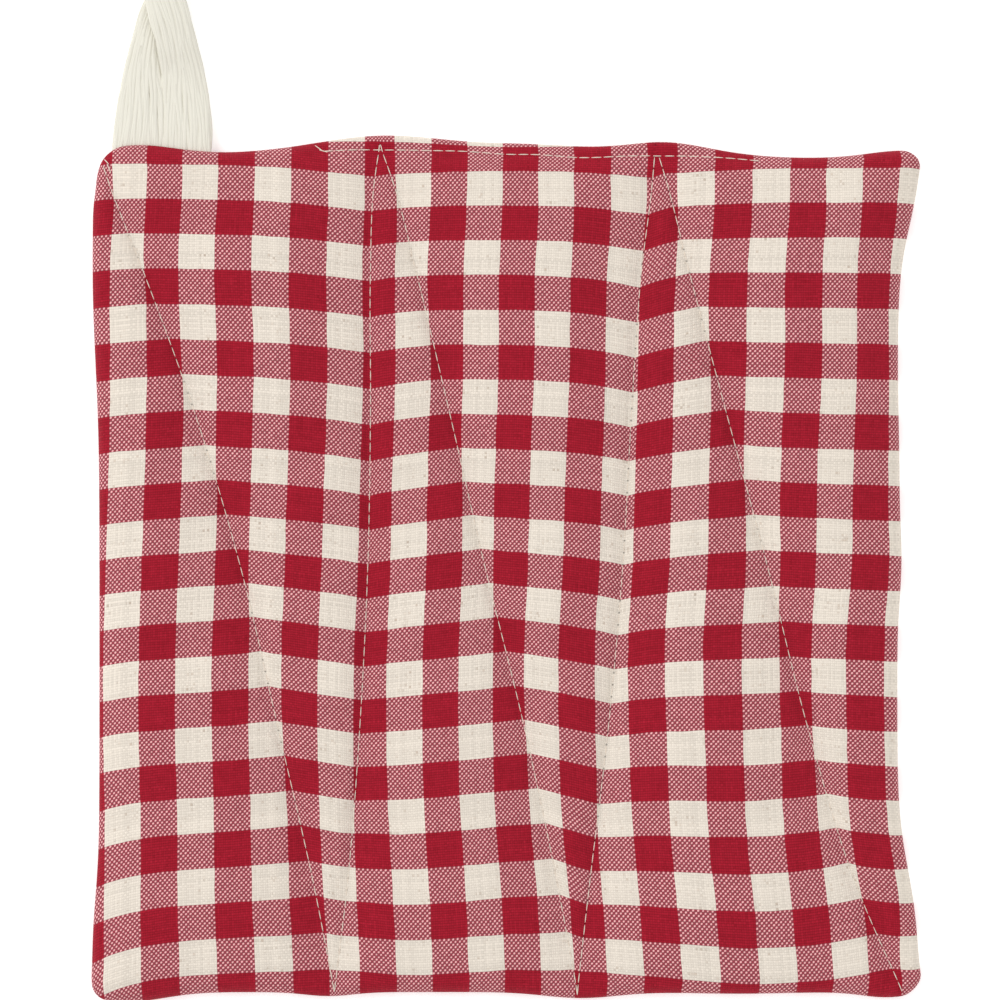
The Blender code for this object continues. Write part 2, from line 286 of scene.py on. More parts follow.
# The row that closes the top edge. Columns: across, up.
CLOSING_ROW = (
    (-45.5, 103.8),
    (-37.7, 104.2),
    (-28.7, 104.2),
    (-19.0, 104.0),
    (-10.2, 103.8),
    (1.2, 103.0),
    (7.2, 103.0),
    (19.0, 102.2),
    (31.7, 102.7),
    (45.7, 102.6),
    (54.7, 102.2),
    (63.7, 101.4),
)
CLOSING_DIP, CLOSING_HALF_WIDTH = 0.55, 1.8


def closing_place(x):
    """Height up the face of the row that closes the top edge."""
    return smooth_curve(x, [row[0] for row in CLOSING_ROW], [row[1] for row in CLOSING_ROW])


def closing_dip(x, y):
    """How deep that row draws the cloth in."""
    ends =np.maximum(CLOSING_ROW[0][0] - x, x - CLOSING_ROW[-1][0])
    away = np.hypot(y - closing_place(x), np.maximum(ends, 0)) / CLOSING_HALF_WIDTH
    return CLOSING_DIP * np.exp(-(away**2))


def pad_rise(away):
    """0 on a seam and 1 far from it."""
    return sum(share * (1 - np.exp(-np.abs(away) / reach)) for share, reach in PAD_STEPS)


def top_height(x, y):
    """Height of the front cloth."""
    distance = inside_distance(x, y)
    frames = seam_frames(x, y)
    pad = np.prod([pad_rise(across) for across, _ in frames], axis=0)
    inner = 1 - np.exp(-distance / EDGE_REACH)
    low = edge_height(x, y)
    rise = SEAM_TOP - low + LUMP["rise"] * lump(x, y) - closing_dip(x, y)
    folds = (puckers(frames) + billows(x, y) * pad) * inner
    return low + rise * edge_roll(distance) + PAD_RISE * pad * inner + folds


def under_height(x, y):
    """Height of the back cloth: flat but for the seams and the folded edge."""
    distance = inside_distance(x, y)
    nearest = np.min([np.abs(across) for across, _ in seam_frames(x, y)], axis=0)
    near = np.clip(1 - nearest / UNDER_REACH, 0, 1)
    groove = UNDER_GROOVE * near**UNDER_POWER * (1 - lump(x, y))
    return edge_height(x, y) * (1 - edge_roll(distance)) + groove * edge_roll(distance)


# The checks. The cloth is 16 ends and 14 picks to a check, and the seams drag its lines about.
ENDS, PICKS = 16, 14
CHECK_DOWN = 8.74
FIRST_LINE = 100.0
# How many checks lie left of the first charted line and where the last one ends, at these heights.
CHECK_HEIGHTS = (90.8, 33.5, -44.3, -90.5)
CHECKS_LEFT = (-1.43, -1.30, -1.07, -1.27)
CHECKS_RIGHT = (21.44, 21.30, 21.38, 21.47)
# Each seam takes up this share of the cloth's width, within this far of it.
SEAM_TAKE, SEAM_TAKE_WIDTH = 0.0045, 1.5
# How far down the lines of checks are dragged at the seams and at the side edges, and between them.
DRAG_LINES = (-1, 0, 3, 8, 11, 13, 15, 17, 19, 21, 23)
SEAM_DRAG = (
    (1.5, 1.5, 1.5, 1.0, 1.4, 2.1, 2.4, 2.8, 3.3, 3.5, 2.9),
    (-3.8, -3.5, -3.0, -4.2, -3.5, -3.1, -2.5, -1.9, -1.2, -0.8, -0.9),
    (-1.0, -0.7, -0.2, 0.6, 1.6, 2.1, 2.7, 3.6, 4.5, 5.2, 5.0),
    (-5.6, -6.0, -5.6, -4.0, -3.4, -3.6, -3.4, -2.8, -3.0, -3.3, -3.4),
    (1.6, 1.6, 1.6, 1.4, 1.0, 0.6, 0.8, 1.4, 2.0, 1.9, 1.4),
)
LEFT_DRAG = (-0.5, -0.5, -0.5, -2.0, -2.2, -2.3, -2.4, -2.7, -4.2, -5.6, -7.1)
RIGHT_DRAG = (-0.5, -0.5, -0.5, -0.9, -1.0, -1.0, -1.3, -1.3, -1.1, -0.4, 1.1)
REST_PLACES = (-60.0, -27.0, 2.0, 60.0)
RESTS = (
    (0.4, 0.4, 0.4, -0.3, -0.2, 0.1, 0.2, 0.5, 0.6, 0.6, 0.5),
    (-3.7, -1.0, -0.5, -1.1, -0.7, -0.3, -0.1, 0.1, -0.3, -0.9, -1.1),
    (-4.2, -1.0, -0.6, -0.4, -0.2, 0.3, 0.6, 1.3, 1.6, 1.6, 1.2),
    (-2.5, -0.3, -0.3, -0.6, -0.2, -0.3, -0.3, -0.6, -1.0, -2.1, -2.8),
)
# How far to the right the columns of checks stand of an even spacing. Places across, then one row a
# height.
COLUMN_PLACES = (-100, -70, -42, -14, 14, 40, 70, 84, 98)
COLUMN_HEIGHTS = (98, 84, 56, 28, -14, -56, -84, -98)
COLUMN_SHIFT = (
    (2.4, 1.0, 0.6, 0.5, -1.0, -1.1, -0.6, -1.0, -1.2),
    (1.4, 0.7, 1.2, 1.0, 0.4, 0.3, 0.9, 0.9, 0.0),
    (0.9, 1.4, 1.8, 1.3, 0.7, 0.2, 1.7, 2.0, 0.2),
    (0.3, 0.5, 0.7, 0.0, -0.9, -0.8, 0.1, 0.1, -0.4),
    (0.3, 0.3, 0.3, 0.0, -1.7, -1.7, -0.2, -1.1, -0.4),
    (0.5, 0.7, 0.5, 0.3, -1.0, -0.5, 0.7, -0.2, 0.2),
    (0.3, 0.5, 0.7, 0.5, -0.6, -0.8, 0.2, -0.1, 0.3),
    (0.7, 1.2, 1.5, 0.7, -0.3, -0.5, 0.5, 0.0, -0.7),
)
DRAG_REACH = 11.5


def check_places(x, y):
    """Where a place of the cloth lies in its checks: across and down."""
    left, right = -edge_reach("left", y, tucks=()), edge_reach("right", y)
    taken = sum(
        0.5 + 0.5 * np.tanh((x - seam_x(k, y)) / SEAM_TAKE_WIDTH) for k in range(len(SEAMS))
    )
    shifts = np.array([np.interp(x, COLUMN_PLACES, row) for row in COLUMN_SHIFT])
    shift = np.zeros_like(x)
    for k in range(len(COLUMN_HEIGHTS)):
        unit = np.eye(len(COLUMN_HEIGHTS))[k]
        shift = shift + smooth_curve(y, COLUMN_HEIGHTS, unit) * shifts[k]
    across = (x - shift - left) / (right - left) * (1 - len(SEAMS) * SEAM_TAKE) + taken * SEAM_TAKE
    first = smooth_curve(y, CHECK_HEIGHTS, CHECKS_LEFT)
    last = smooth_curve(y, CHECK_HEIGHTS, CHECKS_RIGHT)
    down = (FIRST_LINE - y) / CHECK_DOWN
    for _ in range(4):
        free, weight, drag = 1.0, 0.0, 0.0
        for k, row in enumerate(SEAM_DRAG + (LEFT_DRAG, RIGHT_DRAG)):
            place = seam_x(k, y) if k < len(SEAMS) else (left if k == len(SEAMS) else right)
            pull = np.exp(-np.abs(x - place) / DRAG_REACH)
            free = free * (1 - pull)
            weight = weight + pull
            drag = drag + pull * np.interp(down, DRAG_LINES, row)
        rest = sum(
            np.interp(x, REST_PLACES, part) * np.interp(down, DRAG_LINES, row)
            for part, row in zip(np.eye(len(RESTS)), RESTS)
        )
        drag = (drag + free * rest) / (weight + free)
        down = (FIRST_LINE - y + drag) / CHECK_DOWN
    return first + (last - first) * across, down


def mesh_piece(name, points, faces):
    mesh = bpy.data.meshes.new(name)
    mesh.from_pydata(np.asarray(points, float).tolist(), [], np.asarray(faces, int).tolist())
    made = bpy.data.objects.new(name, mesh)
    bpy.context.scene.collection.objects.link(made)
    mesh.shade_smooth()
    return made


def uv_layer(piece, name, per_point):
    """Lays a UV map on a mesh from one pair of values a point."""
    mesh = piece.data
    corners = np.empty(len(mesh.loops), np.int32)
    mesh.loops.foreach_get("vertex_index", corners)
    layer = mesh.uv_layers.new(name=name)
    layer.data.foreach_set("uv", np.asarray(per_point, np.float32)[corners].ravel())


def quads(index):
    corners = (index[:-1, :-1], index[1:, :-1], index[1:, 1:], index[:-1, 1:])
    return np.column_stack([corner.ravel() for corner in corners])


def between(lines):
    """The lines of a grid, with one more between each two, on a smooth curve."""
    padded = np.pad(lines, ((1, 1), (0, 0)))
    finer = np.zeros((2 * len(lines) - 1, lines.shape[1]))
    finer[::2] = lines
    finer[1::2] = (9 * (lines[1:] + lines[:-1]) - padded[:-3] - padded[3:]) / 16
    return finer


x, y = square_grid()
rows, columns = x.shape

# The front cloth has slack over the filling. It is simulated on every other line of the mesh inside
# the rim, held at the edges and the seams while the filling presses it up, so that it buckles into
# folds where the stitches gather it. What it gains in height is then added to the finer mesh.
SLACK, PRESSURE, STIFF, BENDING = 0.003, 0.2, 15.0, 3.0
CLOTH_SCALE, CLOTH_FRAMES, CLOTH_QUALITY = 10.0, 20, 6
FOLD_LIMIT, FOLD_PASSES = 1.2, 2
# Where the mesh's columns stand closer than this, the cloth is held as it is at the seams.
NARROW_CELL = 0.3
rim = len(RIM) - 1
sheet = np.dstack([x, y, top_height(x, y)])[rim:-rim:2, rim:-rim:2]
lines, places = sheet.shape[:2]
index = np.arange(lines * places).reshape(lines, places)
cloth = mesh_piece("slack_cloth", sheet.reshape(-1, 3) * CLOTH_SCALE * MM, quads(index))
held = np.abs(np.gradient(sheet[..., 0], axis=1)) < NARROW_CELL
held[[0, -1]] = held[:, [0, -1]] = True
held[:, np.cumsum(COLUMNS_WITHIN)[:-1] // 2] = True
group = cloth.vertex_groups.new(name="held")
group.add(index[held].tolist(), 1.0, "REPLACE")
slack = cloth.modifiers.new("slack", "CLOTH")
slack.settings.quality = CLOTH_QUALITY
slack.settings.tension_stiffness = slack.settings.compression_stiffness = STIFF
slack.settings.bending_stiffness = BENDING
slack.settings.vertex_group_mass = "held"
slack.settings.shrink_min = -SLACK
slack.settings.use_pressure = True
slack.settings.uniform_pressure_force = PRESSURE
slack.settings.effector_weights.gravity = 0
slack.collision_settings.use_collision = False
for step in range(1, CLOTH_FRAMES + 1):
    bpy.context.scene.frame_set(step)
settled = cloth.evaluated_get(bpy.context.evaluated_depsgraph_get()).data
settled = np.array([vertex.co.z for vertex in settled.vertices]).reshape(lines, places)
gained = np.clip(settled / (CLOTH_SCALE * MM) - sheet[..., 2], -FOLD_LIMIT, FOLD_LIMIT)
for _ in range(FOLD_PASSES):
    soft = np.pad(gained, 1)
    soft = (soft[:-2] + 2 * soft[1:-1] + soft[2:]) / 4
    soft = (soft[:, :-2] + 2 * soft[:, 1:-1] + soft[:, 2:]) / 4
    gained = np.where(held, 0, soft)
bpy.data.objects.remove(cloth)
bpy.context.scene.frame_set(1)
folds = np.zeros_like(x)
folds[rim:-rim, rim:-rim] = between(between(gained).T).T

top_index = np.arange(rows * columns).reshape(rows, columns)
under_index = top_index.copy()
under_index[1:-1, 1:-1] = rows * columns + np.arange((rows - 2) * (columns - 2)).reshape(
    rows - 2, columns - 2
)
inner = (slice(1, -1), slice(1, -1))
points = np.vstack(
    [
        np.column_stack([x.ravel(), y.ravel(), (top_height(x, y) + folds).ravel()]),
        np.column_stack([x[inner].ravel(), y[inner].ravel(), under_height(x, y)[inner].ravel()]),
    ]
)


# Round the folded edge the cloth is longer than its shadow, so its pattern reaches further out.
ROLL_DROP, ROLL_BLEND = 2.1, 1.2


def flat_places(x, y):
    """Where places of the cloth would lie if its folded edge were pressed flat."""
    turn = np.linspace(0, math.pi / 2, 60)
    level, drop = EDGE_ROUND * np.sin(turn), ROLL_DROP * (1 - np.cos(turn))
    length = np.concatenate([[0], np.cumsum(np.hypot(np.diff(level), np.diff(drop)))])
    extra = np.interp(EDGE_ROUND - inside_distance(x, y), level, length - level)
    out_x = np.exp(-(edge_reach("right", y) - x) / ROLL_BLEND)
    out_x = out_x - np.exp(-(x + edge_reach("left", y)) / ROLL_BLEND)
    out_y = np.exp(-(edge_reach("top", x) - y) / ROLL_BLEND)
    out_y = out_y - np.exp(-(y + edge_reach("bottom", x)) / ROLL_BLEND)
    size = np.maximum(np.hypot(out_x, out_y), 1e-6)
    return x + extra * out_x / size, y + extra * out_y / size


square = mesh_piece(
    "padded_square", points * MM, np.vstack([quads(top_index), quads(under_index)[:, ::-1]])
)
uv_layer(square, "checks", np.column_stack(check_places(*flat_places(points[:, 0], points[:, 1]))))
frames = seam_frames(points[:, 0], points[:, 1])
nearest = np.argmin([np.abs(across) for across, _ in frames], axis=0)
across = np.choose(nearest, [pair[0] for pair in frames])
along = np.choose(nearest, [pair[1] for pair in frames])
uv_layer(square, "seam", np.column_stack([across, along / STITCH]))


def linear(code):
    """A colour's sRGB hex value as linear light."""
    parts = [int(code[place : place + 2], 16) / 255 for place in (1, 3, 5)]
    return tuple(c / 12.92 if c <= 0.04045 else ((c + 0.055) / 1.055) ** 2.4 for c in parts) + (1,)


def add(tree, kind, inputs=(), **settings):
    """Adds a node with its settings and inputs, and returns its first output."""
    made = tree.nodes.new(kind)
    for name, value in settings.items():
        setattr(made, name, value)
    for socket, value in dict(inputs).items():
        if isinstance(value, bpy.types.NodeSocket):
            tree.links.new(value, made.inputs[socket])
        else:
            made.inputs[socket].default_value = value
    return made.outputs[0]


MATH, MIX = "ShaderNodeMath", "ShaderNodeMix"

# Gingham: plain weave cotton, yarn dyed. Each yarn is a small rounded thread, 0.6 mm from the next,
# so red over cream shows as dots and red over red as a solid, with painted shade in its gaps.
gingham = bpy.data.materials.new("gingham_cotton_plain_weave")
gingham.use_nodes = True
tree = gingham.node_tree
checks = add(tree, "ShaderNodeUVMap", uv_map="checks")
# Its yarns wander by a share of a check, this many times in a check.
WANDER, WANDER_SCALE = 0.05, 1.4
wander = add(
    tree, "ShaderNodeTexNoise", {"Vector": checks, "Scale": WANDER_SCALE, "Detail": 1.0}
).node.outputs["Color"]
wander = add(
    tree, "ShaderNodeVectorMath", {0: wander, 1: (0.5, 0.5, 0.5)}, operation="SUBTRACT"
)
wander = add(tree, "ShaderNodeVectorMath", {0: wander, "Scale": WANDER}, operation="SCALE")
checks = add(tree, "ShaderNodeVectorMath", {0: checks, 1: wander}, operation="ADD")
split = add(tree, "ShaderNodeSeparateXYZ", {0: checks}).node
ends = add(tree, MATH, {0: split.outputs["X"], 1: ENDS}, operation="MULTIPLY")
picks = add(tree, MATH, {0: split.outputs["Y"], 1: PICKS}, operation="MULTIPLY")
end, pick = (add(tree, MATH, {0: count}, operation="FLOOR") for count in (ends, picks))


def in_red(yarn, per_check, test):
    """1 where a yarn of this number is red: red and cream take turns, a check each."""
    place = add(tree, MATH, {0: yarn, 1: 0.5}, operation="ADD")
    place = add(tree, MATH, {0: place, 1: 2.0 * per_check}, operation="DIVIDE")
    place = add(tree, MATH, {0: place}, operation="FRACT")
    return add(tree, MATH, {0: place, 1: 0.5}, operation=test)


warp_red = in_red(end, ENDS, "LESS_THAN")
weft_red = in_red(pick, PICKS, "GREATER_THAN")
# Plain weave: the pick is on top where its number and the end's add up to an odd number.
both = add(tree, MATH, {0: end, 1: pick}, operation="ADD")
half = add(tree, MATH, {0: both, 1: 0.5}, operation="MULTIPLY")
half = add(tree, MATH, {0: half}, operation="FRACT")
weft_over = add(tree, MATH, {0: half, 1: 0.25}, operation="GREATER_THAN")
part_end, part_pick = (add(tree, MATH, {0: count}, operation="FRACT") for count in (ends, picks))


def arch(part):
    """0 at the two sides of a yarn and 1 on its middle."""
    turn = add(tree, MATH, {0: part, 1: math.pi}, operation="MULTIPLY")
    return add(tree, MATH, {0: turn}, operation="SINE")


# How round a yarn is across: 1 is a full arch, and less is flatter on top.
YARN_ROUNDNESS = 0.6
# Slubs: how often the spinning changes from yarn to yarn and along one. In cream, flecks show where
# it is strongest. Each yarn also has its own shade, between these.
SLUB_STRETCH = (3.7, 2.6, 1.0)
FLECK_FROM, FLECK_TO, FLECK_STRENGTH = 0.62, 0.74, 0.55
DARK_YARN, LIGHT_YARN, SHADE_SEED = 0.9, 1.06, 31.7


def yarn_height(across, along):
    """Height of a yarn, which arches across and bends over and under the others along."""
    rounded = add(tree, MATH, {0: across, 1: YARN_ROUNDNESS}, operation="POWER")
    crimp = add(tree, MATH, {0: along, 1: 0.5, 2: 0.5}, operation="MULTIPLY_ADD")
    return add(tree, MATH, {0: rounded, 1: crimp}, operation="MULTIPLY")


def yarn_colour(yarn, along, red, seed):
    """A yarn's dyed colour, with the shades and flecks of its own spinning."""
    place = add(tree, "ShaderNodeCombineXYZ", {0: yarn, 1: along, 2: seed})
    stretched = add(
        tree, "ShaderNodeVectorMath", {0: place, 1: SLUB_STRETCH}, operation="MULTIPLY"
    )
    slub = add(tree, "ShaderNodeTexNoise", {"Vector": stretched, "Scale": 1.0, "Detail": 2.0})
    own = add(
        tree,
        "ShaderNodeTexWhiteNoise",
        {"W": add(tree, MATH, {0: yarn, 1: seed * SHADE_SEED}, operation="ADD")},
        noise_dimensions="1D",
    )
    dyed = add(
        tree,
        MIX,
        {"Factor": slub, "A": linear("#860A1B"), "B": linear("#B22035")},
        data_type="RGBA",
    ).node.outputs[2]
    fleck = add(
        tree,
        "ShaderNodeMapRange",
        {"Value": slub, "From Min": FLECK_FROM, "From Max": FLECK_TO, "To Max": FLECK_STRENGTH},
    )
    plain = add(
        tree,
        MIX,
        {"Factor": fleck, "A": linear("#E0D6C9"), "B": linear("#A8927F")},
        data_type="RGBA",
    ).node.outputs[2]
    colour = add(
        tree, MIX, {"Factor": red, "A": plain, "B": dyed}, data_type="RGBA"
    ).node.outputs[2]
    shade = {"Value": own, "To Min": DARK_YARN, "To Max": LIGHT_YARN}
    shade = add(tree, "ShaderNodeMapRange", shade)
    return add(tree, "ShaderNodeVectorMath", {0: colour, "Scale": shade}, operation="SCALE")


arch_end, arch_pick = arch(part_end), arch(part_pick)
height = add(
    tree,
    MIX,
    {
        "Factor": weft_over,
        "A": yarn_height(arch_end, arch_pick),
        "B": yarn_height(arch_pick, arch_end),
    },
)
colour = add(
    tree,
    MIX,
    {
        "Factor": weft_over,
        "A": yarn_colour(end, split.outputs["Y"], warp_red, 1.0),
        "B": yarn_colour(pick, split.outputs["X"], weft_red, 2.0),
    },
    data_type="RGBA",
).node.outputs[2]
# Where red crosses cream, the red yarn is the fuller one. It closes in round each cream float, which
# is left as a dot that leans with the twist of its yarn, up to the right. The dot's pink tint is
# painted light: red light bounced through the neighbouring red yarns.
mixed = add(tree, MATH, {0: warp_red, 1: weft_red}, operation="SUBTRACT")
mixed = add(tree, MATH, {0: mixed}, operation="ABSOLUTE")
over_red = add(tree, MIX, {"Factor": weft_over, "A": warp_red, "B": weft_red})
DOT_LONG, DOT_WIDE, DOT_INSIDE, DOT_OUTSIDE = 0.85, 0.58, 0.95, 1.5
DOT_UNEVEN, DOT_UNEVEN_SCALE, PAIR_SHARE = 0.9, 7.0, 0.85
length =add(tree, MATH, {0: part_end, 1: part_pick}, operation="SUBTRACT")
length = add(tree, MATH, {0: length, 1: DOT_LONG}, operation="DIVIDE")
width = add(tree, MATH, {0: part_end, 1: part_pick}, operation="ADD")
width = add(tree, MATH, {0: width, 1: 1.0}, operation="SUBTRACT")
width = add(tree, MATH, {0: width, 1: DOT_WIDE}, operation="DIVIDE")
reach = add(
    tree,
    "ShaderNodeVectorMath",
    {0: add(tree, "ShaderNodeCombineXYZ", {0: length, 1: width})},
    operation="LENGTH",
).node.outputs["Value"]
uneven = {"Vector": checks, "Scale": DOT_UNEVEN_SCALE, "Detail": 1.0}
uneven = add(tree, "ShaderNodeTexNoise", uneven)
reach = add(tree, MATH, {0: uneven, 1: DOT_UNEVEN, 2: reach}, operation="MULTIPLY_ADD")
closed = {"Value": reach, "From Min": DOT_INSIDE, "From Max": DOT_OUTSIDE}
closed = add(tree, "ShaderNodeMapRange", closed)
closed = add(tree, MATH, {0: closed, 1: over_red}, operation="MAXIMUM")
pair = add(
    tree,
    MIX,
    {"Factor": closed, "A": linear("#F7ABAF"), "B": linear("#953F4C")},
    data_type="RGBA",
).node.outputs[2]
mixed = add(tree, MATH, {0: mixed, 1: PAIR_SHARE}, operation="MULTIPLY")
colour = add(
    tree, MIX, {"Factor": mixed, "A": colour, "B": pair}, data_type="RGBA"
).node.outputs[2]
# Painted shade darkens the gaps between yarns, least of all in the cream, which lets light through.
GAP_SHADE_IN_CREAM, GAP_SHADE_IN_RED, GAP_HEIGHT = 0.92, 0.72, 0.7
any_red = add(tree, MATH, {0: warp_red, 1: weft_red}, operation="MAXIMUM")
darkest_gap_shade = {"Value": any_red, "To Min": GAP_SHADE_IN_CREAM, "To Max": GAP_SHADE_IN_RED}
darkest_gap_shade = add(tree, "ShaderNodeMapRange", darkest_gap_shade)
gap = {"Value": height, "From Max": GAP_HEIGHT, "To Min": darkest_gap_shade}
gap = add(tree, "ShaderNodeMapRange", gap)
# The cloth has a faint rib across, as its picks are beaten up close. Painted shade darkens the
# grooves between picks, most in the red, and a painted highlight lightens their tops a little.
RIB_SHADE_IN_CREAM, RIB_SHADE_IN_RED, RIB_TOP_LIGHT = 0.98, 0.84, 1.05
rib_shade = {"Value": any_red, "To Min": RIB_SHADE_IN_CREAM, "To Max": RIB_SHADE_IN_RED}
rib_shade = add(tree, "ShaderNodeMapRange", rib_shade)
rib_shade = add(tree, "ShaderNodeMapRange", {"Value": arch_pick, "To Min": rib_shade, "To Max": RIB_TOP_LIGHT})
gap = add(tree, MATH, {0: gap, 1: rib_shade}, operation="MULTIPLY")
# The needle's holes: small dimples, one a stitch, on each seam's line, darkened by painted shade.
HOLE_INSIDE, HOLE_OUTSIDE, HOLE_SHADE, WEAVE_RELIEF = 0.12, 0.34, 0.4, 0.12
seam = add(
    tree, "ShaderNodeSeparateXYZ", {0: add(tree, "ShaderNodeUVMap", uv_map="seam")}
).node.outputs
to_hole = add(tree, MATH, {0: seam["Y"], 1: 0.5}, operation="ADD")
to_hole = add(tree, MATH, {0: to_hole}, operation="FRACT")
to_hole = add(tree, MATH, {0: to_hole, 1: 0.5}, operation="SUBTRACT")
to_hole = add(tree, MATH, {0: to_hole, 1: STITCH}, operation="MULTIPLY")
from_hole = add(
    tree,
    "ShaderNodeVectorMath",
    {0: add(tree, "ShaderNodeCombineXYZ", {0: seam["X"], 1: to_hole})},
    operation="LENGTH",
).node.outputs["Value"]
hole = add(
    tree,
    "ShaderNodeMapRange",
    {"Value": from_hole, "From Min": HOLE_INSIDE, "From Max": HOLE_OUTSIDE, "To Min": HOLE_SHADE},
)
shade = add(tree, MATH, {0: gap, 1: hole}, operation="MULTIPLY")
colour = add(tree, "ShaderNodeVectorMath", {0: colour, "Scale": shade}, operation="SCALE")
relief = add(tree, MATH, {0: height, 1: hole}, operation="MULTIPLY")
bump = {"Height": relief, "Distance": WEAVE_RELIEF * MM, "Strength": 0.6}
bump = add(tree, "ShaderNodeBump", bump)
shader = tree.nodes["Principled BSDF"]
tree.links.new(colour, shader.inputs["Base Color"])
tree.links.new(bump, shader.inputs["Normal"])
shader.inputs["Roughness"].default_value = 0.9
shader.inputs["Specular IOR Level"].default_value = 0.12
shader.inputs["Sheen Weight"].default_value = 0.04
square.data.materials.append(gingham)
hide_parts("padded_body")
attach(square, "root")

# The hanging loop
# A hank of about a hundred soft cotton yarns, doubled over and caught by both ends in the top edge.
# Its legs fan out at the seam, cross where they narrow, and open into an eye.
# Columns: across, up, height of its middle, width, thickness.
LOOP_SECTIONS = (
    (-91.3, 96.0, 2.80, 12.6, 2.6),
    (-91.2, 103.5, 2.80, 12.6, 2.6),
    (-90.9, 110.0, 2.30, 12.0, 2.7),
    (-90.6, 117.0, 1.75, 10.8, 2.8),
    (-90.4, 124.5, 1.60, 8.0, 3.0),
    (-89.7, 130.5, 1.60, 6.4, 3.1),
    (-88.0, 137.5, 1.60, 6.0, 3.1),
    (-84.4, 144.5, 1.60, 6.0, 3.1),
    (-80.6, 151.5, 1.75, 6.0, 3.5),
    (-76.4, 158.5, 2.10, 6.0, 4.1),
    (-75.4, 166.5, 2.20, 6.0, 4.3),
    (-79.0, 174.0, 2.20, 6.0, 4.3),
    (-85.8, 176.8, 2.20, 6.0, 4.3),
    (-92.6, 174.0, 2.20, 6.0, 4.3),
    (-96.0, 166.5, 2.30, 6.0, 4.2),
    (-94.6, 158.5, 3.20, 6.2, 3.8),
    (-89.9, 151.5, 4.75, 6.8, 3.2),
    (-85.6, 144.5, 5.05, 8.2, 3.0),
    (-83.3, 137.0, 4.90, 9.2, 2.9),
    (-81.8, 130.0, 3.70, 9.0, 2.8),
    (-80.7, 124.0, 2.10, 9.8, 2.8),
    (-80.1, 117.0, 1.75, 11.4, 2.8),
    (-79.6, 110.0, 2.30, 11.8, 2.7),
    (-79.6, 103.5, 2.80, 11.8, 2.6),
    (-79.6, 96.0, 2.80, 11.8, 2.6),
)
YARNS = 104
# Each yarn is pressed flatter than it is wide by its neighbours.
YARN_RADIUS, YARN_PRESS = 0.62, 0.6
YARN_STATIONS = 150
YARN_SIDES = 6
# The hank is turned by this share of a round, from and over these shares of its length.
YARN_TWIST, TWIST_FROM, TWIST_OVER = 0.5, 0.2, 0.6
# Each yarn wanders by a share of the hank's half width in waves this long, and its plies start this
# much further along than the last one's.
YARN_WANDER, YARN_WAVES, YARN_STEP = 0.05, (23.0, 41.0), 7.3
# Most yarns are drawn where they show, at the outside of the hank, and its top is nearly flat.
YARN_OUTWARD, YARN_FLATTEN = 0.3, 0.5
# Soft yarn spreads this far beyond the plain hank.
YARN_SPREAD = 0.75


def yarn_places(draw, places, length):
    """Each yarn's place in the hank's round: across and up, from -1 to 1, at every station."""
    index = np.arange(YARNS)
    reach = ((index + 0.5) / YARNS) ** YARN_OUTWARD
    start = index * math.pi * (3 - math.sqrt(5))
    part = np.clip((places - TWIST_FROM * length) / (TWIST_OVER * length), 0, 1)
    turn = 2 * math.pi * YARN_TWIST * (3 * part**2 - 2 * part**3)
    angle = start[:, None] + turn[None, :]
    across, up = reach[:, None] * np.cos(angle), reach[:, None] * np.sin(angle)
    for wave in YARN_WAVES:
        phases = draw.uniform(0, 2 * math.pi, (2, YARNS, 1))
        across = across + YARN_WANDER * np.sin(2 * math.pi * places / wave + phases[0])
        up = up + YARN_WANDER * np.sin(2 * math.pi * places / wave + phases[1])
    size = np.maximum(np.hypot(across, up), 1)
    across, up = across / size, up / size
    return across, np.sign(up) * np.abs(up) ** YARN_FLATTEN


def loop_yarns():
    """All the yarns as tubes: points, faces, and how far round and along each point is."""
    rows = np.array(LOOP_SECTIONS)
    steps = np.linalg.norm(np.diff(rows[:, :3], axis=0), axis=1)
    knots = np.concatenate([[0], np.cumsum(steps)])
    places = np.linspace(0, knots[-1], YARN_STATIONS)
    x, y, z, width, thickness = (smooth_curve(places, knots, column) for column in rows.T)
    way = np.gradient(np.column_stack([x, y]), axis=0)
    way /= np.linalg.norm(way, axis=1)[:, None]
    across, up = yarn_places(np.random.default_rng(5), places, knots[-1])
    across *= width / 2 - YARN_RADIUS + YARN_SPREAD
    up *= thickness / 2 - YARN_RADIUS
    angles = np.arange(YARN_SIDES + 1) * 2 * math.pi / YARN_SIDES
    points, faces, marks = [], [], []
    for yarn in range(YARNS):
        line = np.column_stack(
            [x + across[yarn] * way[:, 1], y - across[yarn] * way[:, 0], z + up[yarn]]
        )
        tangent = np.gradient(line, axis=0)
        tangent /= np.linalg.norm(tangent, axis=1)[:, None]
        side = np.cross(tangent, (0.0, 0.0, 1.0))
        side /= np.linalg.norm(side, axis=1)[:, None]
        over = np.cross(side, tangent)
        first = yarn * YARN_STATIONS * YARN_SIDES
        for angle in angles[:-1]:
            ring = math.cos(angle) * side + YARN_PRESS * math.sin(angle) * over
            points.append(line + YARN_RADIUS * ring)
        starts = YARN_STATIONS * np.arange(YARN_SIDES)[:, None]
        grid = first + np.arange(YARN_STATIONS)[None, :] + starts
        grid = np.vstack([grid, grid[:1]])
        faces.append(quads(grid)[:, ::-1])
        turns, lengths = np.meshgrid(np.linspace(0, 1, YARN_SIDES + 1), places, indexing="ij")
        corners = [
            np.column_stack([turns[a, b].ravel(), lengths[a, b].ravel() + YARN_STEP * yarn])
            for a, b in (
                (slice(None, -1), slice(1, None)),
                (slice(1, None), slice(1, None)),
                (slice(1, None), slice(None, -1)),
                (slice(None, -1), slice(None, -1)),
            )
        ]
        marks.append(np.stack(corners, axis=1))
    return np.vstack(points), np.vstack(faces), np.concatenate(marks)


points, faces, marks = loop_yarns()
loop = mesh_piece("hanging_loop_yarns", points * MM, faces)
layer = loop.data.uv_layers.new(name="yarn")
layer.data.foreach_set("uv", marks.astype(np.float32).ravel())
